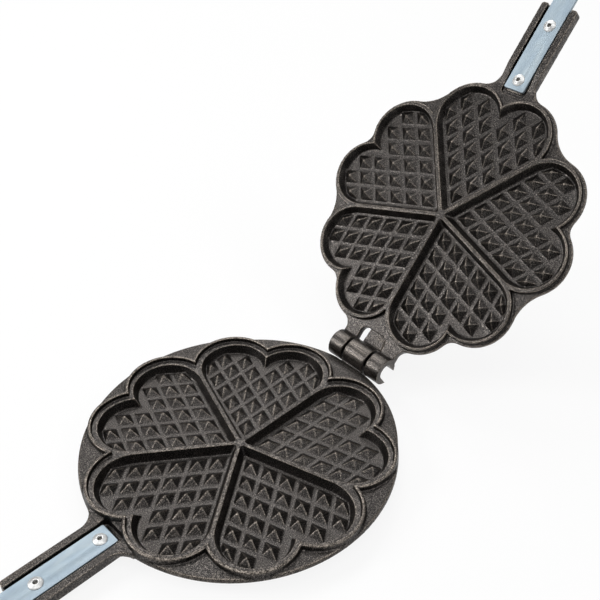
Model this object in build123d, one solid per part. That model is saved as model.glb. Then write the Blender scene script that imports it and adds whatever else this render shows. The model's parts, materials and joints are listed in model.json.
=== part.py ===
"""Cast-iron heart waffle iron with two hinged halves and long strip handles.

Frame: +Z up, +X from the waffle plates towards the hinge, origin at the centre of the
foot ring on which the lower half stands. The iron stands open on its stop, lower half
flat. Lengths are in millimetres, angles in degrees.

Each half is drawn with its own parting plane at z = 0, its cooking face looking up and
its hinge on the +X side, and is then moved to its place.
"""

from build123d import *
from math import cos, hypot, radians, sin, sqrt
import os

# ---------------------------------------------------------------- driving dimensions
# Waffle pattern: five hearts, points together in the middle of the plate.
hearts = 5
lobe_along = 67.6          # centre of a heart's lobe, measured along the divider
beside_share = 0.3595      # centre of the rim's lobe, square to the divider, per lobe_along
divider_width = 2.6        # top of the ridge between two hearts
core_overlap = 6.0         # the flower's middle disc reaches past its lobes' centres
lobe_share = 0.3513        # lobe of the heart-shaped hollow, at its mouth, per lobe_along
cavity_depth = 6.2
cavity_draft = 2.6         # how far a hollow's wall leans in on its way down
apex_radius = 1.6          # rounded point of the heart
point_pitch = 12.85        # spacing of the pyramids along a heart's edge
first_point = 11.5         # first pyramid from the heart's point, along both edges
point_base = 9.8
point_height = 4.2
point_sink = 0.6           # how far each pyramid is carried on below the floor

# Castings
floor_thickness = 5.3
rim_wall = 2.15            # upper half: rim that drops inside the lower half's lip
rim_height = 3.6
rim_to_lip = 1.6           # play between the rim and the lip round it
lip_height = 3.3
lip_width = 2.0
lip_draft = 0.7
seating_gap = 0.2          # between the closed halves
flange_margin = 1.17       # lower half: widest place of the flange beyond the lip's lobes
flange_drop = 0.2          # lower half: flange below the parting plane
flange_top_inset = 0.6     # the insets run from the flange's widest place
flange_edge_drop = 2.8
flange_under_inset = 1.7
flange_under_drop = 4.5
neck_past_flange = 4.1     # lower half: the flange is drawn out towards the hinge
neck_share = 0.913         # radius of that end of the flange, per flange_radius
skirt_inset = 4.2
skirt_top_drop = 5.0
foot_inset = 7.5
foot_width = 7.0
foot_height = 2.5
web_margin = 2.2           # upper half: scalloped flange outside the rim
web_thickness = 2.5
web_heart_fillet = 10.0    # the web bridging a heart's own two lobes
web_divider_fillet = 30.0  # the web bridging the lobes of two hearts
back_inset = 0.3           # upper half: back of the hearts inside the rim
back_draft = 0.8
limb_drop = 0.9            # top of the forks and the hinge arm below the parting plane
fillet_share = 0.8         # most of a limb's free side that its root fillet may take

# Hinge
hinge_past_flange = 12.3   # hinge axis beyond the flange's edge
hinge_rise = 3.47          # hinge axis above the lower half's parting plane
opening_angle = 132.1
barrel_radius = 9.9
knuckle_width = 18.8       # the lower half's single middle knuckle
knuckle_gap = 1.9          # side play between the knuckles
hinge_width = 46.8         # over the two hooks
hook_clearance = 0.8       # between the turning hooks and the neck of the flange
trunnion_radius = 5.1
trunnion_length = 9.0
trunnion_clearance = 0.1
hook_mouth_angle = 15.0    # the hook's mouth leans outwards from straight back
tab_thickness = 5.6
tab_root_fillet = 8.0
window_reach = 20.3        # from the hinge axis into the tab, round the middle knuckle
window_corner = 4.5
arm_depth = 6.5
arm_root_fillet = 4.0
stop_width = 13.6
stop_thickness = 3.8
stop_reach = 26.0          # tip of the opening stop from the hinge axis
stop_gap = 0.2

# Cast fork that carries the handle strip
fork_past_rivet = 14.6     # tips of the prongs beyond the outer rivet
fork_width = 28.0
fork_depth = 8.1
fork_root_fillet = 12.0
fork_tip_radius = 1.8
channel_width = 18.6
channel_inset = 7.1        # the channel's closed end inside the flange's edge
channel_corner = 2.6
channel_depth = 5.6
pad_width = 13.0
pad_end_gap = 1.2          # the pad shows this much past the strip's end
ramp_past_flange = 13.5    # upper half: where the fork reaches its full height
ramp_length = 15.0

# Handle strip, riveted down on the fork's pad
strip_width = 15.5
strip_thickness = 2.5
strip_drop = 2.0           # top of the strip below the parting plane
strip_end_gap = 4.0        # between the channel's closed end and the strip
strip_length = 516.6
strip_corner = 1.0
strip_tail_radius = 5.0
hang_hole_radius = 3.0
hang_hole_inset = 9.0

# Blind rivets
rivet_end_distance = 7.2   # inner rivet from the strip's end
rivet_pitch = 41.8
rivet_radius = 2.4
rivet_hole_clearance = 0.05
rivet_head_radius = 4.4
rivet_head_height = 1.5
rivet_bulb_radius = 3.5
rivet_bulb_height = 3.4
stem_radius = 1.35
stem_clearance = 0.03
stem_sink = 1.3            # the broken stem's end below the top of the head
stem_head_radius = 2.2
stem_head_height = 1.0

# Wooden grip scale on the outer face of the strip
grip_length = 130.0
grip_tail_gap = 16.0       # strip showing beyond the grip
grip_width = 24.0
grip_thickness = 8.8
grip_edge_radius = 3.4
grip_screws = 3
screw_end_distance = 16.0
screw_radius = 1.9
screw_length = 8.5
screw_head_radius = 3.9
screw_head_height = 1.9
screw_clearance = 0.03
slot_width = 1.0
slot_depth = 0.8

# ---------------------------------------------------------------- worked-out places
sector = 360.0 / hearts
half_sector = sector / 2
half_divider = divider_width / 2
lobe_radius = lobe_share * lobe_along
lobe_beside = beside_share * lobe_along
rim_radius = lobe_radius + rim_wall
web_lobe_radius = rim_radius + web_margin
back_lobe_radius = rim_radius - back_inset
web_drop = rim_height
web_bottom = web_drop + web_thickness
back_depth = cavity_depth + floor_thickness
parting = back_depth + foot_height
lip_inner_radius = rim_radius + rim_to_lip
lip_outer_radius = lip_inner_radius + lip_width
core_radius = lobe_along + core_overlap
flange_radius = hypot(lobe_along, lobe_beside) + lip_outer_radius + flange_margin
neck_radius = neck_share * flange_radius
neck_centre = flange_radius + neck_past_flange - neck_radius
skirt_top_radius = flange_radius - skirt_inset
foot_radius = flange_radius - foot_inset
hinge_reach = flange_radius + hinge_past_flange
channel_end = flange_radius - channel_inset
strip_start = channel_end + strip_end_gap
strip_end = strip_start + strip_length
inner_rivet = strip_start + rivet_end_distance
outer_rivet = inner_rivet + rivet_pitch
fork_end = outer_rivet + fork_past_rivet
ramp_end = flange_radius + ramp_past_flange
grip_end = strip_end - grip_tail_gap
grip_start = grip_end - grip_length
hinge_z = hinge_rise - seating_gap
strip_bottom = strip_drop + strip_thickness
hook_start = knuckle_width / 2 + knuckle_gap
bore_radius = trunnion_radius + trunnion_clearance
tab_bottom = web_drop + tab_thickness

BOTTOM = (Align.CENTER, Align.CENTER, Align.MIN)
TOP = (Align.CENTER, Align.CENTER, Align.MAX)
TOUCH = 1e-3               # places nearer than this count as one


# ---------------------------------------------------------------- shared shapes
def slab(x0, x1, width, z0, z1):
    """A block between two places along X, centred on the XZ plane."""
    size = Box(x1 - x0, width, z1 - z0)
    return Pos((x0 + x1) / 2, 0, (z0 + z1) / 2) * size


def along_y(radius, y0, y1, x, z):
    """A round bar that lies along Y."""
    bar = Rot(90, 0, 0) * Cylinder(radius, y1 - y0)
    return Pos(x, (y0 + y1) / 2, z) * bar


def lobe_places():
    """The ten lobes of the flower, two for each heart."""
    for heart in range(hearts):
        for side in (1, -1):
            place = Pos(lobe_along, side * lobe_beside, 0)
            yield Rot(0, 0, heart * sector) * place


def flower(z0, z1, low_radius, high_radius):
    """A ten-lobed block whose lobes may taper."""
    height = z1 - z0
    block = Pos(0, 0, z0) * Cylinder(core_radius, height, align=BOTTOM)
    if low_radius == high_radius:
        lobe = Cylinder(low_radius, height, align=BOTTOM)
    else:
        lobe = Cone(low_radius, high_radius, height, align=BOTTOM)
    # The lobes are joined one at a time, because joining all at once can lose one.
    for place in lobe_places():
        block += place * Pos(0, 0, z0) * lobe
    return block


def lobe_on_axis():
    """A rim lobe's centre along, and its distance from, its heart's middle line."""
    turn = radians(half_sector)
    along = lobe_along * cos(turn) + lobe_beside * sin(turn)
    off = lobe_along * sin(turn) - lobe_beside * cos(turn)
    return along, off


def heart_face(inset, z):
    """Outline of one heart; its first edge runs along the +X divider."""
    offset = half_divider + inset
    radius = lobe_radius - inset
    centre = Vector(lobe_along, half_divider + lobe_radius)
    axis = Vector(cos(radians(half_sector)), sin(radians(half_sector)))
    along_axis = centre.dot(axis)
    off_axis = centre.X * axis.Y - centre.Y * axis.X
    cusp = axis * (along_axis + sqrt(radius**2 - off_axis**2))
    apex = axis * (offset / sin(radians(half_sector)))
    touch = Vector(lobe_along, offset)
    # The arc is drawn through the point halfway round from the edge to the cusp.
    outward = (touch - centre).normalized() + (cusp - centre).normalized()
    middle = centre + outward.normalized() * radius * (1 if outward.X > 0 else -1)

    def mirrored(point):
        along = point.dot(axis)
        foot = axis * along
        return foot * 2 - point

    edges = [
        Line(apex, touch),
        ThreePointArc(touch, middle, cusp),
        ThreePointArc(cusp, mirrored(middle), mirrored(touch)),
        Line(mirrored(touch), apex),
    ]
    outline = make_face(Wire(edges))
    point = outline.vertices().sort_by_distance((0, 0, 0))[0]
    return Pos(0, 0, z) * fillet(point, apex_radius)


def heart_cavity():
    """The hollow that shapes one heart, with leaning walls."""
    return loft([heart_face(0, 0), heart_face(cavity_draft, -cavity_depth)], ruled=True)


def pyramid():
    """One four-sided point, its rhombic base sunk in the floor."""
    grow = (point_height + point_sink) / point_height
    half = point_base * grow / 2
    first = Vector(1, 0) * half
    second = Vector(cos(radians(sector)), sin(radians(sector))) * half
    corners = [first + second, second - first, -first - second, first - second]
    low = [Vector(c.X, c.Y, -cavity_depth - point_sink) for c in corners]
    tip = Vector(0, 0, point_height - cavity_depth)
    sides = [(low[i], low[(i + 1) % 4], tip) for i in range(4)]
    faces = [Face(Wire.make_polygon(points)) for points in (*sides, low)]
    return Solid(Shell(faces))


def point_places():
    """Places of a heart's pyramids: rows along both edges, wherever the floor reaches."""
    floor = heart_face(cavity_draft, 0)
    rows = int((lobe_along + lobe_radius) / point_pitch)
    for row in range(rows):
        for column in range(rows):
            along = first_point + column * point_pitch
            beside = first_point + row * point_pitch
            x = along + beside * cos(radians(sector))
            y = beside * sin(radians(sector))
            if floor.is_inside(Vector(x, y, 0)):
                yield Pos(x, y, 0)


def with_hearts(casting):
    """Sinks the heart hollows in a casting and raises the pyramids in them."""
    cavity = heart_cavity()
    turns = [Rot(0, 0, heart * sector) for heart in range(hearts)]
    casting -= [turn * cavity for turn in turns]
    point = pyramid()
    return casting + [turn * place * point for turn in turns for place in point_places()]


def web_plan():
    """Scalloped outline of the upper half's flange: ten lobes with webs between them."""
    plan = Circle(core_radius) + [place * Circle(web_lobe_radius) for place in lobe_places()]
    inner = plan.vertices().group_by(SortBy.DISTANCE)[0]
    plan = fillet(inner, web_divider_fillet)
    along, off = lobe_on_axis()
    cusp = along + sqrt(web_lobe_radius**2 - off**2)
    cusps = [v for v in plan.vertices() if abs(hypot(v.X, v.Y) - cusp) < TOUCH]
    return fillet(cusps, web_heart_fillet)


def limb(root_plan, side, reach, width, root_fillet):
    """Outline of what stands out of a plate along X, filleted into the plate's own outline."""
    bar = Pos(side * reach / 2, 0) * Rectangle(reach, width)
    plan = root_plan + bar
    on_sides = [v for v in plan.vertices() if abs(abs(v.Y) - width / 2) < TOUCH]
    roots = [v for v in on_sides if 0 < side * v.X < reach - TOUCH]
    free_side = reach - max(side * v.X for v in roots)
    plan = fillet(roots, min(root_fillet, fillet_share * free_side))
    # What is kept of the plate's own outline ends at the feet of these fillets.
    beside = [abs(v.Y) for v in plan.vertices() if side * v.X > lobe_along]
    foot = max(y for y in beside if y < width / 2 + root_fillet)
    keep = Rectangle(reach - lobe_along, 2 * foot)
    return plan & Pos(side * (reach + lobe_along) / 2, 0) * keep


def fork(root_plan, root_bottom):
    """Cast fork on the -X side; its flared root is no deeper than the plate's flange."""
    plan = limb(root_plan, -1, fork_end, fork_width, fork_root_fillet)
    tips = plan.vertices().group_by(Axis.X)[0]
    plan = fillet(tips, fork_tip_radius)
    bar = plan & Pos(-fork_end / 2, 0) * Rectangle(fork_end, fork_width)
    flare = Pos(0, 0, -root_bottom) * extrude(plan, root_bottom - limb_drop)
    return flare + Pos(0, 0, -fork_depth) * extrude(bar, fork_depth - limb_drop)


def channel():
    """The space between the prongs, round the strip's pad."""
    plan = Pos(-channel_end - fork_end / 2, 0) * Rectangle(fork_end, channel_width)
    plan = fillet(plan.vertices().group_by(Axis.X)[-1], channel_corner)
    space = Pos(0, 0, -channel_depth) * extrude(plan, channel_depth + lip_height)
    pad_start = strip_start - pad_end_gap
    pad = slab(-2 * fork_end, -pad_start, pad_width, -fork_depth, -strip_bottom)
    return space - pad


def rivet_holes():
    """Holes for both blind rivets, through the strip and through the fork."""
    hole = Cylinder(rivet_radius + rivet_hole_clearance, 4 * fork_depth)
    return [Pos(-x, 0, 0) * hole for x in (inner_rivet, outer_rivet)]


# ---------------------------------------------------------------- lower half
def opening_stop():
    """Horn on the middle knuckle, drawn in the open upper half's own frame."""
    tip = hinge_reach - stop_reach
    top = -tab_bottom - stop_gap
    plan = Polyline(
        (tip, stop_width / 2),
        (hinge_reach, knuckle_width / 2),
        (hinge_reach, -knuckle_width / 2),
        (tip, -stop_width / 2),
        close=True,
    )
    return Pos(0, 0, top - stop_thickness) * extrude(make_face(plan), stop_thickness)


def flange_disc(below, radius):
    """A flange turned about Z, on top of what the section's first places describe."""
    section = Polyline(
        *below,
        (radius - flange_under_inset, -flange_under_drop),
        (radius, -flange_edge_drop),
        (radius - flange_top_inset, -flange_drop),
        (0, -flange_drop),
        close=True,
    )
    return revolve(Plane.XZ * make_face(section), Axis.Z)


def lower_casting():
    """Round plate with the lip, foot ring, fork and the hinge's middle knuckle."""
    skirt = [
        (0, foot_height - parting),
        (foot_radius - foot_width, foot_height - parting),
        (foot_radius - foot_width, -parting),
        (foot_radius, -parting),
        (skirt_top_radius, -skirt_top_drop),
    ]
    to_neck = Pos(neck_centre, 0, 0)
    plate = flange_disc(skirt, flange_radius)
    plate += to_neck * flange_disc([(0, -flange_under_drop)], neck_radius)
    lip_foot = lip_outer_radius + lip_draft
    plate += flower(-flange_edge_drop, lip_height, lip_foot, lip_outer_radius)
    plate -= flower(0, 2 * lip_height, lip_inner_radius, lip_inner_radius)
    plate += fork(Circle(flange_radius), flange_under_drop)
    half_knuckle = knuckle_width / 2
    outline = Circle(flange_radius) + to_neck * Circle(neck_radius)
    arm = limb(outline, 1, hinge_reach, knuckle_width, arm_root_fillet)
    plate += Pos(0, 0, -limb_drop - arm_depth) * extrude(arm, arm_depth)
    plate += along_y(barrel_radius, -half_knuckle, half_knuckle, hinge_reach, hinge_rise)
    hook_end = hinge_width / 2 + knuckle_gap
    for ends in ((half_knuckle, hook_end), (-hook_end, -half_knuckle)):
        plate -= along_y(barrel_radius + hook_clearance, *ends, hinge_reach, hinge_rise)
    trunnion_end = half_knuckle + trunnion_length
    plate += along_y(trunnion_radius, -trunnion_end, trunnion_end, hinge_reach, hinge_rise)
    plate += open_place * opening_stop()
    plate -= channel()
    plate -= rivet_holes()
    return with_hearts(plate)


# ---------------------------------------------------------------- upper half
def fork_ramp():
    """What is missing above the fork's root, so that it clears the lower half's lip."""
    start = ramp_end - ramp_length
    profile = Polyline(
        (-lobe_along, -web_drop),
        (-start, -web_drop),
        (-ramp_end, -limb_drop),
        (-ramp_end, rim_height),
        (-lobe_along, rim_height),
        close=True,
    )
    return extrude(Plane.XZ * make_face(profile), fork_width, both=True)


def upper_casting():
    """Scalloped plate with the rim, fork and the hinge's two hooks."""
    web = web_plan()
    plate = Pos(0, 0, -web_bottom) * extrude(web, web_thickness)
    tab = limb(web, 1, hinge_reach, hinge_width, tab_root_fillet)
    plate += Pos(0, 0, -tab_bottom) * extrude(tab, tab_bottom - web_drop)
    plate += fork(web, web_bottom) - fork_ramp()
    low_radius = back_lobe_radius - back_draft
    plate += flower(-back_depth, -web_bottom, low_radius, back_lobe_radius)
    plate += flower(-web_bottom, 0, rim_radius, rim_radius)
    for side in (1, -1):
        ends = sorted((side * hook_start, side * hinge_width / 2))
        plate += along_y(barrel_radius, *ends, hinge_reach, -hinge_z)
    window = Rectangle(2 * window_reach, 2 * hook_start)
    window = fillet(window.vertices(), window_corner)
    plate -= Pos(hinge_reach, 0, -2 * barrel_radius) * extrude(window, 4 * barrel_radius)
    mouth = Pos(0, 0, -barrel_radius) * Box(2 * bore_radius, hinge_width, 2 * barrel_radius)
    plate -= Pos(hinge_reach, 0, -hinge_z) * Rot(0, -hook_mouth_angle, 0) * mouth
    plate -= along_y(bore_radius, -hinge_width, hinge_width, hinge_reach, -hinge_z)
    plate -= channel()
    plate -= rivet_holes()
    return with_hearts(plate)


# ---------------------------------------------------------------- handles
def screw_places():
    """Where the grip's screws sit along the strip."""
    first = grip_start + screw_end_distance
    last = grip_end - screw_end_distance
    pitch = (last - first) / (grip_screws - 1)
    return [first + number * pitch for number in range(grip_screws)]


def screw_shape(play, slotted):
    """Countersunk wood screw, its head flush with the strip; play widens it to a hole."""
    radius = screw_radius + play
    head = Cone(radius, screw_head_radius + play, screw_head_height, align=TOP)
    body = head + Cylinder(radius, screw_length - screw_radius, align=TOP)
    tip = Pos(0, 0, screw_radius - screw_length)
    body += tip * Cone(play, radius, screw_radius + play, align=TOP)
    if slotted:
        body -= Box(4 * screw_head_radius, slot_width, 2 * slot_depth)
    return Pos(0, 0, -strip_drop) * body


def strip():
    """Flat steel strip with holes for the rivets, the grip's screws and a hook."""
    bar = slab(-strip_end, -strip_start, strip_width, -strip_bottom, -strip_drop)
    upright = bar.edges().filter_by(Axis.Z).group_by(Axis.X)
    bar = fillet(upright[-1], strip_corner)
    tail = bar.edges().filter_by(Axis.Z).group_by(Axis.X)[0]
    bar = fillet(tail, strip_tail_radius)
    hole = Cylinder(hang_hole_radius, 4 * strip_bottom)
    bar -= Pos(hang_hole_inset - strip_end, 0, 0) * hole
    bar -= rivet_holes()
    return bar - [Pos(-x, 0, 0) * screw_shape(screw_clearance, False) for x in screw_places()]


def grip():
    """Beech scale screwed to the outer face of the strip."""
    top = -strip_bottom
    scale = slab(-grip_end, -grip_start, grip_width, top - grip_thickness, top)
    scale = fillet(scale.faces().sort_by(Axis.Z)[0].edges(), grip_edge_radius)
    return scale - [Pos(-x, 0, 0) * screw_shape(screw_clearance, False) for x in screw_places()]


def blind_rivet():
    """Hollow aluminium rivet with a domed head, drawn on the plate's own heights."""
    seat = -strip_drop
    back = -fork_depth
    rise = rivet_head_height
    dome = (rivet_head_radius**2 + rise**2) / (2 * rise)
    head = Pos(0, 0, seat + rise - dome) * Sphere(dome)
    head &= Pos(0, 0, seat) * Cylinder(rivet_head_radius, rise, align=BOTTOM)
    shank = Pos(0, 0, seat) * Cylinder(rivet_radius, seat - back, align=TOP)
    bulb = Pos(0, 0, back) * Cylinder(rivet_bulb_radius, rivet_bulb_height, align=TOP)
    bulb = fillet(bulb.edges(), rivet_bulb_radius / 3)
    bore = Cylinder(stem_radius + stem_clearance, 6 * fork_depth)
    return head + shank + bulb - bore


def rivet_stem():
    """The snapped-off steel stem that stays in a blind rivet."""
    top = -strip_drop + rivet_head_height - stem_sink
    foot = -fork_depth - rivet_bulb_height
    stem = Pos(0, 0, top) * Cylinder(stem_radius, top - foot, align=TOP)
    return stem + Pos(0, 0, foot) * Cylinder(stem_head_radius, stem_head_height, align=TOP)


# ---------------------------------------------------------------- placing and writing
closed_place = Pos(0, 0, seating_gap) * Rot(180, 0, 0)
to_axis = Pos(hinge_reach, 0, hinge_rise)
open_place = to_axis * Rot(0, opening_angle, 0) * to_axis.inverse() * closed_place
half_places = {"lower": Pos(0, 0, parting), "upper": Pos(0, 0, parting) * open_place}


def handle_parts():
    """The pieces that both halves carry alike, each under its own name."""
    parts = {"handle_strip": strip(), "grip": grip()}
    for name, x in (("inner", inner_rivet), ("outer", outer_rivet)):
        parts[f"{name}_rivet"] = Pos(-x, 0, 0) * blind_rivet()
        parts[f"{name}_rivet_stem"] = Pos(-x, 0, 0) * rivet_stem()
    for number, x in enumerate(screw_places(), 1):
        parts[f"grip_screw_{number}"] = Pos(-x, 0, 0) * screw_shape(0, True)
    return parts


def main():
    nodes = {
        "lower_plate": half_places["lower"] * lower_casting(),
        "upper_plate": half_places["upper"] * upper_casting(),
    }
    for half, place in half_places.items():
        for name, shape in handle_parts().items():
            nodes[f"{half}_{name}"] = place * shape
    os.makedirs("parts", exist_ok=True)
    for name, shape in nodes.items():
        shape.label = name
        export_step(shape, f"parts/{name}.step")
        box = shape.bounding_box()
        print(name, round(shape.volume), box.min, box.max)


main()
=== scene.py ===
import json
from math import cos, pi, radians, sin

import bmesh
import bpy
import numpy as np
from mathutils import Euler, Matrix, Vector


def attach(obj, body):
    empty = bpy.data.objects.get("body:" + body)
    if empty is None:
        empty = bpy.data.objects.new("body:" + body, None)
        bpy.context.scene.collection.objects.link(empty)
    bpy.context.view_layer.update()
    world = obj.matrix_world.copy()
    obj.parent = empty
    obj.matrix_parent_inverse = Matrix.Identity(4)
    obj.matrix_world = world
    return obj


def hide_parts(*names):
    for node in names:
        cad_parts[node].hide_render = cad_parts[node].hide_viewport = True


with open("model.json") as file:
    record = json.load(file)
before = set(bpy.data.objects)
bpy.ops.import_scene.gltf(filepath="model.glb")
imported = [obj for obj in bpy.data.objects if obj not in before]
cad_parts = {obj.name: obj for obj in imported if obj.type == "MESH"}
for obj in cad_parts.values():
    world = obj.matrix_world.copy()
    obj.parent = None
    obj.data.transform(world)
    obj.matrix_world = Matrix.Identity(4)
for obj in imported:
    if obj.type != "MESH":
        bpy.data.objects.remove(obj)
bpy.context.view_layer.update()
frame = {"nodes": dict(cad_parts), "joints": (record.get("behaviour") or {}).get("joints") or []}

MM = 0.001
scene = bpy.context.scene
hinge = frame["joints"][0]

# ------------------------------------------------------------------ sizes, in millimetres
parting = 14.0             # the lower half's parting plane above the table
seating_gap = 0.2          # between the closed halves
strip_drop = 2.0           # top of a handle strip below its half's parting plane
inner_rivet = 106.6        # rivets from the plate's centre
rivet_pitch = 41.8
fork_depth = 8.1
grip_end = 600.0
grip_length = 130.0
screw_end_distance = 16.0
screw_count = 3

# A voxel of the castings: it rounds their edges about as much as sand casting does.
casting_voxel = 0.45
casting_triangles = 190000
weld = 0.002               # joins the loose triangles of a CAD shape
flat_angle = 0.5           # degrees: facets flatter than this become one face
wear_and_highlight_reach = 1.0           # how far from an edge the lighter edge colour reaches: partly rubbed wear, partly a painted highlight
wear_and_highlight_start = 0.05          # how far a place stands proud where the lighter edge colour begins, in shares of that
wear_and_highlight_span = 0.14           # and how much further until it is full
rubbed_reach = 10.6        # the hinge's rubbed surfaces, from its axis
rubbed_fade = 0.4
rubbed_half_width = 25.0   # and from the middle, along it
strip_edge = 0.3           # the broken edges of strips and grips
grip_edge = 0.5
corner_angle = 35          # degrees: a sharper corner than this counts as an edge
head_sides = 40            # facets round a rivet or a screw
stem_sides = 24
row_seed = 7               # turns each rivet, stem and screw its own way
# The cutter of a screw's slot: across the head, wide, and twice as deep as the slot.
slot_size = (12.0, 1.0, 1.6)


# ------------------------------------------------------------------ places
def half_place(half):
    """From a half's own frame, cooking face up and parting plane at z = 0, to the scene."""
    lift = Matrix.Translation((0, 0, parting * MM))
    if half == "lower":
        return lift
    axis = Matrix.Translation(Vector(hinge["pos_m"]))
    opened = Matrix.Rotation(radians(-hinge["range_deg"][0]), 4, "Y")
    closed = Matrix.Translation((0, 0, (parting + seating_gap) * MM)) @ Matrix.Rotation(pi, 4, "X")
    return axis @ opened @ axis.inverted() @ closed


places = {half: half_place(half) for half in ("lower", "upper")}


# ------------------------------------------------------------------ materials
NOISE = "ShaderNodeTexNoise"       # in order: vector, scale, detail, roughness
RAMP = "ShaderNodeValToRGB"        # value
RANGE = "ShaderNodeMapRange"       # value, from low, from high, to low, to high
MIX = "ShaderNodeMix"              # share, first, second
MATH = "ShaderNodeMath"            # first value, second value
PLACE = "ShaderNodeTexCoord"
STORED = "ShaderNodeAttribute"     # a value kept on the mesh
STRETCH = "ShaderNodeMapping"
RELIEF = "ShaderNodeBump"


def linear(colour):
    """An sRGB hex colour as linear light, with alpha."""
    shares = [int(colour[i:i + 2], 16) / 255 for i in (1, 3, 5)]
    lit = [s / 12.92 if s <= 0.04045 else ((s + 0.055) / 1.055) ** 2.4 for s in shares]
    return (*lit, 1.0)


def fill(tree, node, values):
    """Sets a node's live inputs, in order or by name, to values or to other nodes' outputs."""
    live = [socket for socket in node.inputs if socket.enabled]
    by_name = values if isinstance(values, dict) else dict(enumerate(values))
    for name, value in by_name.items():
        socket = live[name] if isinstance(name, int) else next(s for s in live if s.name == name)
        if isinstance(value, bpy.types.NodeSocket):
            tree.links.new(value, socket)
        else:
            socket.default_value = value


def add(tree, kind, values=(), out=None, stops=(), **settings):
    """Adds a node and returns its named output, or its first live one; stops are a ramp's."""
    node = tree.nodes.new(kind)
    for name, value in settings.items():
        setattr(node, name, value)
    fill(tree, node, values)
    if stops:
        elements = node.color_ramp.elements
        while len(elements) < len(stops):
            elements.new(0.5)
        for element, (place, colour) in zip(elements, stops):
            element.position = place
            element.color = linear(colour)
    return node.outputs[out] if out else next((s for s in node.outputs if s.enabled), None)


def material(name, **finish):
    """A principled material; finish gives its plain inputs."""
    made = bpy.data.materials.new(name)
    made.use_nodes = True
    shader = made.node_tree.nodes["Principled BSDF"]
    for socket, value in finish.items():
        shader.inputs[socket.replace("_", " ")].default_value = value
    return made, made.node_tree, shader


def seasoned_cast_iron():
    """Sand-cast grey iron under baked-on oil: a dark grainy skin, painted lighter on its edges,
    partly as rubbed wear and partly as a painted highlight.
    """
    made, tree, shader = material("seasoned_cast_iron", Metallic=1.0)
    where = add(tree, PLACE, out="Object")
    # worn: the share of lighter edge colour, partly rubbed wear and partly a painted highlight on
    # edges
    worn = add(tree, STORED, out="Fac", attribute_name="worn")
    rubbed = add(tree, STORED, out="Fac", attribute_name="rubbed")
    # Sand grains of about 0.4 mm are drawn at 0.65 mm, the finest that shows from a pace away.
    sand = add(tree, NOISE, (where, 1 / (0.65 * MM), 2.0, 0.6))
    patches = add(tree, NOISE, (where, 1 / (14.0 * MM), 3.0, 0.5))
    skin = add(tree, RAMP, (sand,), stops=((0.33, "#201f1e"), (0.52, "#3e3c3b"), (0.70, "#7b7570")))
    oil = add(tree, RANGE, (patches, 0.35, 0.65, 0.0, 0.3))
    oiled = add(tree, MIX, (oil, skin, linear("#3a3633")), data_type="RGBA")
    # The pale speckled edge colour: partly bare rubbed iron, partly a painted highlight where edges
    # catch the light.
    bright = add(tree, RAMP, (sand,), stops=((0.38, "#2e2a27"), (0.66, "#b5aa9e")))
    edge = add(tree, RANGE, (worn, 0.1, 1.0, 0.0, 0.85))
    edged = add(tree, MIX, (edge, oiled, bright), data_type="RGBA")
    barrel = add(tree, RANGE, (rubbed, 0.0, 1.0, 0.0, 0.35))
    polished = add(tree, MIX, (barrel, edged, linear("#5e5a57")), data_type="RGBA")
    rough = add(tree, RANGE, (sand, 0.3, 0.7, 0.5, 0.32))
    smooth = add(tree, RANGE, (rubbed, 0.0, 1.0, 0.0, -0.04))
    total = add(tree, MATH, (rough, smooth), operation="ADD")
    fine = add(tree, RELIEF, {"Height": sand, "Distance": 0.16 * MM, "Strength": 0.8})
    broad = {"Height": patches, "Distance": 0.3 * MM, "Strength": 0.4, "Normal": fine}
    surface = {"Base Color": polished, "Roughness": total, "Normal": add(tree, RELIEF, broad)}
    fill(tree, shader, surface)
    return made


def zinc_plated_steel():
    """Bright bluish zinc on cold-rolled flat bar: nearly even, faintly clouded along its length."""
    made, tree, shader = material("zinc_plated_steel", Metallic=0.4)
    along = add(tree, STORED, out="Vector", attribute_name="own_place")
    stretched = add(tree, STRETCH, {"Vector": along, "Scale": (0.35, 1.0, 1.0)})
    clouds = add(tree, NOISE, (stretched, 1 / (5.0 * MM), 4.0, 0.6))
    rolled = add(tree, STRETCH, {"Vector": along, "Scale": (0.03, 1.0, 1.0)})
    lines = add(tree, NOISE, (rolled, 1 / (0.5 * MM), 2.0, 0.5))
    tones = ((0.3, "#a0b1be"), (0.5, "#a7b7c2"), (0.7, "#b0bec6"))
    surface = {
        "Base Color": add(tree, RAMP, (clouds,), stops=tones),
        "Roughness": add(tree, RANGE, (clouds, 0.3, 0.7, 0.56, 0.5)),
        "Normal": add(tree, RELIEF, {"Height": lines, "Distance": 0.008 * MM, "Strength": 0.3}),
    }
    fill(tree, shader, surface)
    return made


def drawn_aluminium():
    """Soft bright aluminium of a blind rivet, with shallow dents from the setting tool."""
    made, tree, shader = material("drawn_aluminium", Metallic=0.6)
    dents = add(tree, NOISE, (add(tree, PLACE, out="Object"), 1 / (1.2 * MM), 2.0, 0.5))
    surface = {
        "Base Color": add(tree, RAMP, (dents,), stops=((0.3, "#d6d7d7"), (0.7, "#eeeeec"))),
        "Roughness": add(tree, RANGE, (dents, 0.3, 0.7, 0.5, 0.36)),
        "Normal": add(tree, RELIEF, {"Height": dents, "Distance": 0.05 * MM, "Strength": 0.6}),
    }
    fill(tree, shader, surface)
    return made


def snapped_steel():
    """The grainy grey break of a rivet's steel stem."""
    made, tree, shader = material("snapped_steel", Metallic=1.0)
    broken = add(tree, NOISE, (add(tree, PLACE, out="Object"), 1 / (0.5 * MM), 3.0, 0.6))
    surface = {
        "Base Color": add(tree, RAMP, (broken,), stops=((0.35, "#3b3a3a"), (0.65, "#77746f"))),
        "Roughness": add(tree, RANGE, (broken, 0.3, 0.7, 0.6, 0.4)),
        "Normal": add(tree, RELIEF, {"Height": broken, "Distance": 0.12 * MM, "Strength": 0.8}),
    }
    fill(tree, shader, surface)
    return made


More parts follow.
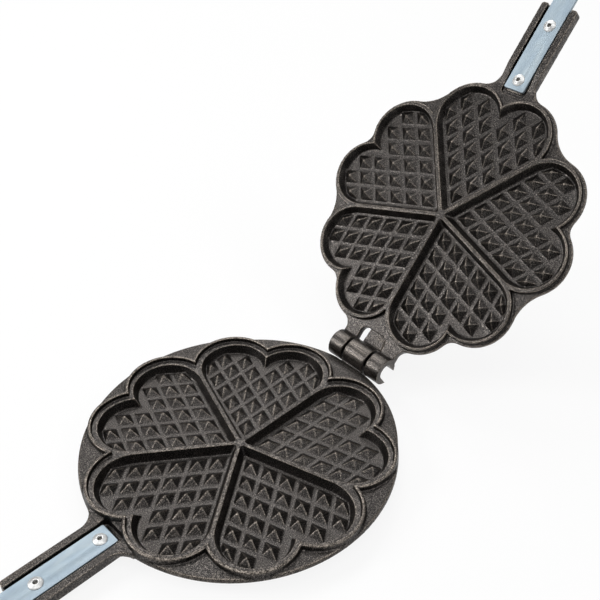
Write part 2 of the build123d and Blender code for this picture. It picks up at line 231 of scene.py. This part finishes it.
def zinc_plated_screw():
    """Yellowish zinc on a slotted wood screw, worn grey on its face."""
    made, tree, shader = material("zinc_plated_screw", Metallic=1.0)
    clouds = add(tree, NOISE, (add(tree, PLACE, out="Object"), 1 / (2.0 * MM), 3.0, 0.5))
    surface = {
        "Base Color": add(tree, RAMP, (clouds,), stops=((0.35, "#a09a8c"), (0.65, "#c6c4bd"))),
        "Roughness": add(tree, RANGE, (clouds, 0.3, 0.7, 0.38, 0.25)),
        "Normal": add(tree, RELIEF, {"Height": clouds, "Distance": 0.03 * MM, "Strength": 0.5}),
    }
    fill(tree, shader, surface)
    return made


def oiled_beech():
    """Steamed beech under oil: pinkish brown, fine rings and short dark flecks of ray."""
    made, tree, shader = material("oiled_beech", IOR=1.47, Metallic=0.0)
    along = add(tree, STORED, out="Vector", attribute_name="own_place")
    slow = add(tree, STRETCH, {"Vector": along, "Scale": (0.06, 1.0, 1.0)})
    wander = add(tree, NOISE, (slow, 1 / (9.0 * MM), 2.0, 0.5))
    bent = add(tree, "ShaderNodeVectorMath", (slow, wander), operation="ADD")
    ring_size = {"Vector": bent, "Scale": 1 / (7.0 * MM), "Distortion": 2.5, "Detail": 2.0}
    rings = add(
        tree, "ShaderNodeTexWave", ring_size, out="Fac", wave_type="BANDS", bands_direction="Z"
    )
    fibre_place = add(tree, STRETCH, {"Vector": along, "Scale": (0.035, 1.0, 1.0)})
    fibres = add(tree, NOISE, (fibre_place, 1 / (0.45 * MM), 3.0, 0.6))
    fleck_place = add(tree, STRETCH, {"Vector": along, "Scale": (0.28, 1.0, 1.0)})
    fleck_size = {"Vector": fleck_place, "Scale": 1 / (1.1 * MM)}
    flecks = add(tree, "ShaderNodeTexVoronoi", fleck_size, out="Distance")
    tones = ((0.0, "#b98253"), (0.6, "#c69468"), (1.0, "#a8724a"))
    wood = add(tree, RAMP, (rings,), stops=tones)
    fibre_share = add(tree, RANGE, (fibres, 0.35, 0.7, 0.0, 0.5))
    fibred = add(tree, MIX, (fibre_share, wood, linear("#8f5c37")), data_type="RGBA")
    fleck_share = add(tree, RANGE, (flecks, 0.12, 0.2, 0.45, 0.0))
    surface = {
        "Base Color": add(tree, MIX, (fleck_share, fibred, linear("#7a4b2b")), data_type="RGBA"),
        "Roughness": add(tree, RANGE, (fibres, 0.3, 0.7, 0.5, 0.38)),
        "Normal": add(tree, RELIEF, {"Height": fibres, "Distance": 0.05 * MM, "Strength": 0.6}),
    }
    fill(tree, shader, surface)
    return made


cast_iron = seasoned_cast_iron()
zinc = zinc_plated_steel()
aluminium = drawn_aluminium()
stem_steel = snapped_steel()
screw_zinc = zinc_plated_screw()
beech = oiled_beech()


# ------------------------------------------------------------------ making pieces
def linked(name, mesh):
    """A new object at the origin."""
    piece = bpy.data.objects.new(name, mesh)
    scene.collection.objects.link(piece)
    return piece


def settled(piece):
    """Turns a piece's modifiers into plain mesh."""
    bpy.context.view_layer.update()
    depsgraph = bpy.context.evaluated_depsgraph_get()
    mesh = bpy.data.meshes.new_from_object(piece.evaluated_get(depsgraph))
    piece.modifiers.clear()
    old = piece.data
    piece.data = mesh
    bpy.data.meshes.remove(old)


def merged_copy(node, name):
    """A closed copy of a CAD node's mesh, with its flat faces whole again."""
    mesh = frame["nodes"][node].data.copy()
    mesh.materials.clear()
    shape = bmesh.new()
    shape.from_mesh(mesh)
    bmesh.ops.remove_doubles(shape, verts=shape.verts, dist=weld * MM)
    bmesh.ops.dissolve_limit(
        shape, angle_limit=radians(flat_angle), verts=shape.verts, edges=shape.edges
    )
    shape.to_mesh(mesh)
    shape.free()
    return linked(name, mesh)


def points_of(mesh):
    """A mesh's vertices as an array."""
    flat = np.empty(len(mesh.vertices) * 3, np.float32)
    mesh.vertices.foreach_get("co", flat)
    return flat.reshape(-1, 3)


def keep_number(mesh, name, values):
    """Stores one number for each vertex."""
    mesh.attributes.new(name, "FLOAT", "POINT").data.foreach_set("value", values.astype(np.float32))


def keep_own_place(piece, half):
    """Stores each vertex's place in its half's own frame, for patterns that follow the piece."""
    inverse = np.array(places[half].inverted(), np.float32)
    own = points_of(piece.data) @ inverse[:3, :3].T + inverse[:3, 3]
    kept = piece.data.attributes.new("own_place", "FLOAT_VECTOR", "POINT")
    kept.data.foreach_set("vector", own.astype(np.float32).ravel())


def edge_wear_and_highlight(mesh):
    """How much each vertex stands proud of its neighbours, from 0 on a flat to 1 on an edge."""
    points = points_of(mesh)
    normals = np.empty(len(mesh.vertices) * 3, np.float32)
    mesh.vertex_normals.foreach_get("vector", normals)
    normals = normals.reshape(-1, 3)
    pairs = np.empty(len(mesh.edges) * 2, np.int32)
    mesh.edges.foreach_get("vertices", pairs)
    pairs = pairs.reshape(-1, 2)
    near = pairs.T.ravel()
    far = pairs[:, ::-1].T.ravel()
    count = np.maximum(np.bincount(near, minlength=len(points)), 1)
    mean = points
    for _ in range(round((wear_and_highlight_reach / casting_voxel) ** 2)):
        sums = [np.bincount(near, mean[far, axis], len(points)) for axis in range(3)]
        mean = np.stack(sums, 1) / count[:, None]
    proud = ((points - mean) * normals).sum(1) / (wear_and_highlight_reach * MM)
    return np.clip((proud - wear_and_highlight_start) / wear_and_highlight_span, 0, 1)


def casting(half):
    """One casting with its edges rounded, its edges marked for lighter colour (partly wear, partly
    painted highlight) and its rubbed places marked.
    """
    piece = merged_copy(f"{half}_plate", f"{half}_casting")
    remesh = piece.modifiers.new("round", "REMESH")
    remesh.mode = "VOXEL"
    remesh.voxel_size = casting_voxel * MM
    soften = piece.modifiers.new("soften", "SMOOTH")
    soften.factor = 0.5
    soften.iterations = 2
    settled(piece)
    mesh = piece.data
    # Marks the lighter edges: partly rubbed wear, partly a painted highlight.
    keep_number(mesh, "worn", edge_wear_and_highlight(mesh))
    points = points_of(mesh)
    from_axis = np.hypot(points[:, 0] - hinge["pos_m"][0], points[:, 2] - hinge["pos_m"][2])
    near = np.clip((rubbed_reach * MM - from_axis) / (rubbed_fade * MM), 0, 1)
    keep_number(mesh, "rubbed", near * (np.abs(points[:, 1]) < rubbed_half_width * MM))
    thin = piece.modifiers.new("thin", "DECIMATE")
    thin.ratio = min(1.0, casting_triangles / (2 * len(mesh.polygons)))
    settled(piece)
    piece.data.shade_smooth()
    piece.data.materials.append(cast_iron)
    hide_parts(f"{half}_plate")
    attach(piece, f"{half}_half")


def softened(node, name, half, finish, radius):
    """A CAD node's shape with its edges broken by a small radius."""
    piece = merged_copy(node, name)
    edge = piece.modifiers.new("edge", "BEVEL")
    edge.width = radius * MM
    edge.segments = 3
    edge.limit_method = "ANGLE"
    edge.angle_limit = radians(corner_angle)
    edge.harden_normals = True
    settled(piece)
    piece.data.shade_smooth()
    piece.data.materials.append(finish)
    keep_own_place(piece, half)
    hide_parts(node)
    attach(piece, f"{half}_half")


def turned(profile, segments):
    """A shape turned round Z from (radius, height) points: a ring, or solid where they reach Z."""
    shape = bmesh.new()
    rings = []
    for radius, height in profile:
        if radius == 0:
            rings.append([shape.verts.new((0, 0, height * MM))])
            continue
        angles = [2 * pi * step / segments for step in range(segments)]
        places_round = [(radius * cos(a) * MM, radius * sin(a) * MM, height * MM) for a in angles]
        rings.append([shape.verts.new(place) for place in places_round])
    closing = rings[:1] if profile[0][0] else []
    for low, high in zip(rings, rings[1:] + closing):
        for step in range(segments):
            after = (step + 1) % segments
            corners = [
                low[step % len(low)],
                low[after % len(low)],
                high[after % len(high)],
                high[step % len(high)],
            ]
            shape.faces.new(dict.fromkeys(corners))
    bmesh.ops.recalc_face_normals(shape, faces=shape.faces)
    mesh = bpy.data.meshes.new("turned")
    shape.to_mesh(mesh)
    shape.free()
    return mesh


def row_tree(name, finish):
    """Geometry nodes that repeat the piece along X."""
    tree = bpy.data.node_groups.new(name, "GeometryNodeTree")
    face = tree.interface
    face.new_socket("Geometry", in_out="INPUT", socket_type="NodeSocketGeometry")
    face.new_socket("Count", in_out="INPUT", socket_type="NodeSocketInt")
    for size in ("First", "Pitch", "Height"):
        face.new_socket(size, in_out="INPUT", socket_type="NodeSocketFloat")
    face.new_socket("Geometry", in_out="OUTPUT", socket_type="NodeSocketGeometry")
    given = add(tree, "NodeGroupInput").node.outputs
    start = add(tree, "ShaderNodeCombineXYZ", {"X": given["First"], "Z": given["Height"]})
    step = add(tree, "ShaderNodeCombineXYZ", {"X": given["Pitch"]})
    line_ends = {"Count": given["Count"], "Start Location": start, "Offset": step}
    line = add(tree, "GeometryNodeMeshLine", line_ends)
    half_turn = {"Min": (0.0, 0.0, -pi), "Max": (0.0, 0.0, pi), "Seed": row_seed}
    turn = add(tree, "FunctionNodeRandomValue", half_turn, data_type="FLOAT_VECTOR")
    on_line = {"Points": line, "Instance": given["Geometry"], "Rotation": turn}
    copies = add(tree, "GeometryNodeInstanceOnPoints", on_line)
    real = add(tree, "GeometryNodeRealizeInstances", {"Geometry": copies})
    done = add(tree, "GeometryNodeSetMaterial", {"Geometry": real, "Material": finish})
    add(tree, "NodeGroupOutput", {"Geometry": done})
    return tree


def row(name, mesh, tree, half, slot, nodes, **sizes):
    """One body's row of small turned parts, standing for their CAD nodes."""
    piece = linked(name, mesh.copy())
    repeat = piece.modifiers.new("repeat", "NODES")
    repeat.node_group = tree
    for socket in tree.interface.items_tree:
        if socket.in_out == "INPUT" and socket.name in sizes:
            repeat[socket.identifier] = sizes[socket.name]
    settled(piece)
    piece.data.transform(places[half])
    piece.data.shade_smooth()
    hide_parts(*nodes)
    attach(piece, f"{half}_half")


# ------------------------------------------------------------------ small turned parts
# Heights are from the face that the head sits on. The bore is 0.03 mm wider than the stem.
back = strip_drop - fork_depth  # the fork's underside, where a rivet's blind end swells
blind_end = back - 3.4
rivet_profile = [
    (1.38, blind_end), (2.6, blind_end + 0.1), (3.3, blind_end + 0.7), (3.5, blind_end + 1.8),
    (3.3, back - 0.4), (3.0, back), (2.4, back), (2.4, 0.0), (4.3, 0.0), (4.4, 0.12),
    (4.3, 0.32), (3.6, 0.75), (2.9, 1.05), (2.45, 1.22), (2.2, 1.42), (1.95, 1.5),
    (1.7, 1.46), (1.48, 1.3), (1.4, 1.05),
]
stem_profile = [
    (0.0, blind_end - 1.0), (1.9, blind_end - 1.0), (2.2, blind_end - 0.7), (2.2, blind_end),
    (1.35, blind_end), (1.35, 0.12), (1.2, 0.3), (0.8, 0.22), (0.45, 0.42), (0.0, 0.36),
]
screw_profile = [
    (0.0, -8.5), (1.9, -6.6), (1.9, -1.9), (3.85, -0.12), (3.9, -0.02), (3.7, 0.0), (0.0, 0.0),
]


def slotted(mesh):
    """Cuts a screwdriver slot across a head."""
    head = linked("head", mesh)
    shape = bmesh.new()
    bmesh.ops.create_cube(shape, size=1.0)
    bmesh.ops.scale(shape, vec=Vector(slot_size) * MM, verts=shape.verts)
    cutter_mesh = bpy.data.meshes.new("cutter")
    shape.to_mesh(cutter_mesh)
    shape.free()
    cutter = linked("cutter", cutter_mesh)
    cut = head.modifiers.new("cut", "BOOLEAN")
    cut.object = cutter
    cut.operation = "DIFFERENCE"
    cut.solver = "EXACT"
    settled(head)
    kept = head.data.copy()
    bpy.data.objects.remove(head)
    bpy.data.objects.remove(cutter)
    return kept


rivet_mesh = turned(rivet_profile, head_sides)
stem_mesh = turned(stem_profile, stem_sides)
screw_mesh = slotted(turned(screw_profile, head_sides))
rivet_row = row_tree("rivet_row", aluminium)
stem_row = row_tree("stem_row", stem_steel)
screw_row = row_tree("screw_row", screw_zinc)
screw_pitch = (grip_length - 2 * screw_end_distance) / (screw_count - 1)
first_screw = grip_end - grip_length + screw_end_distance

for half in places:
    casting(half)
    strip_name = f"{half}_handle_strip"
    softened(strip_name, f"{half}_strip", half, zinc, strip_edge)
    softened(f"{half}_grip", f"{half}_wood_grip", half, beech, grip_edge)
    on_strip = {"Height": -strip_drop * MM}
    two = {"Count": 2, "First": -inner_rivet * MM, "Pitch": -rivet_pitch * MM, **on_strip}
    ends = ("inner", "outer")
    row(
        f"{half}_rivets", rivet_mesh, rivet_row, half, "aluminium_rivet",
        [f"{half}_{end}_rivet" for end in ends], **two,
    )
    row(
        f"{half}_rivet_stems", stem_mesh, stem_row, half, "steel_stem",
        [f"{half}_{end}_rivet_stem" for end in ends], **two,
    )
    row(
        f"{half}_grip_screws", screw_mesh, screw_row, half, "steel_screw",
        [f"{half}_grip_screw_{number}" for number in range(1, screw_count + 1)],
        Count=screw_count, First=-first_screw * MM, Pitch=-screw_pitch * MM, **on_strip,
    )


# ------------------------------------------------------------------ stage, light and camera
floor_reach = 6.0          # metres from the middle, as the next two are
floor_fades = (0.9, 2.5)   # from where to where the floor turns into the backdrop
floor_glow = 0.88          # the backdrop's share of the floor close by; the rest takes shadow
sky_light = 0.5            # strength straight overhead
sky_shine = 0.85           # the same as metal mirrors it
sky_low = 0.015            # and near the horizon
sky_fades = (0.42, 0.95)   # heights, as shares of straight up, between which it grows


def seen_plainly(tree):
    """1 for camera, glossy and transmission rays, which see the plain backdrop."""
    path = add(tree, "ShaderNodeLightPath").node.outputs
    first = add(tree, MATH, (path["Is Camera Ray"], path["Is Glossy Ray"]), operation="MAXIMUM")
    return add(tree, MATH, (first, path["Is Transmission Ray"]), operation="MAXIMUM")


def pale_floor():
    """Matt white table top that keeps a soft shadow, and fades into the backdrop far away."""
    made, tree, shader = material("pale_floor", Roughness=0.9)
    fill(tree, shader, {"Base Color": linear("#f7f7f7")})
    glow = add(tree, "ShaderNodeEmission", {"Color": linear("#ffffff"), "Strength": 1.0})
    where = add(tree, PLACE, out="Object")
    away = add(tree, "ShaderNodeVectorMath", (where,), out="Value", operation="LENGTH")
    plain = add(tree, RANGE, (away, *floor_fades, floor_glow, 1.0))
    share = add(tree, MATH, (seen_plainly(tree), plain), operation="MULTIPLY")
    mixed = add(tree, "ShaderNodeMixShader", (share, shader.outputs["BSDF"], glow))
    fill(tree, tree.nodes["Material Output"], {"Surface": mixed})
    return made


def studio_world():
    """Light from above that fades towards the horizon, with a white backdrop behind."""
    world = bpy.data.worlds.new("studio")
    scene.world = world
    world.use_nodes = True
    tree = world.node_tree
    direction = add(tree, PLACE, out="Generated")
    height = add(tree, "ShaderNodeSeparateXYZ", (direction,), out="Z")
    path = add(tree, "ShaderNodeLightPath").node.outputs
    overhead = add(tree, RANGE, (path["Is Glossy Ray"], 0.0, 1.0, sky_light, sky_shine))
    dome = add(tree, RANGE, (height, *sky_fades, sky_low, overhead))
    level = add(tree, RANGE, (path["Is Camera Ray"], 0.0, 1.0, dome, 1.0))
    fill(tree, tree.nodes["Background"], {"Color": linear("#ffffff"), "Strength": level})


def soft_box(name, place, aim, size, power):
    """A square studio lamp that looks at a point; places and size in metres."""
    lamp = bpy.data.lights.new(name, "AREA")
    lamp.size = size
    lamp.energy = power
    box = bpy.data.objects.new(name, lamp)
    scene.collection.objects.link(box)
    box.location = place
    box.rotation_euler = (Vector(aim) - Vector(place)).to_track_quat("-Z", "Y").to_euler()


floor_mesh = bpy.data.meshes.new("floor")
signs = ((-1, -1), (1, -1), (1, 1), (-1, 1))
corners = [(across * floor_reach, along * floor_reach, 0) for across, along in signs]
floor_mesh.from_pydata(corners, [], [(0, 1, 2, 3)])
floor = linked("floor", floor_mesh)
floor_mesh.materials.append(pale_floor())

studio_world()
centre = (0.05, 0, 0.05)
# name, place, aimed at, size, watts
for lamp in (
    ("top_box", (-0.35, -0.35, 1.9), centre, 1.0, 6),
    ("back_box", (1.1, 1.1, 1.45), centre, 0.8, 10.5),
    ("rear_box", (0.3, 1.2, 1.7), (-0.1, 0, 0.05), 0.7, 7),
    ("side_box", (-1.2, 0.98, 0.95), (0.2, 0, 0.1), 0.6, 16),
    ("right_box", (0.5, -1.3, 1.2), centre, 0.5, 5),
):
    soft_box(*lamp)

# The camera looks down on the open iron from the handle side; the small shift frames it.
camera_data = bpy.data.cameras.new("camera")
camera_data.sensor_width = 36
camera_data.lens = 51.24
camera_data.shift_x = -0.0104
camera_data.shift_y = 0.0111
camera_data.clip_start = 0.01
camera = bpy.data.objects.new("camera", camera_data)
scene.collection.objects.link(camera)
camera.location = (-0.23695, -0.29568, 0.42537)
look = Vector((0.5535, 0.55413, -0.62175))
roll = Euler((0, 0, radians(0.983))).to_quaternion()
camera.rotation_mode = "QUATERNION"
camera.rotation_quaternion = look.to_track_quat("-Z", "Y") @ roll
scene.camera = camera
scene.view_settings.view_transform = "Standard"
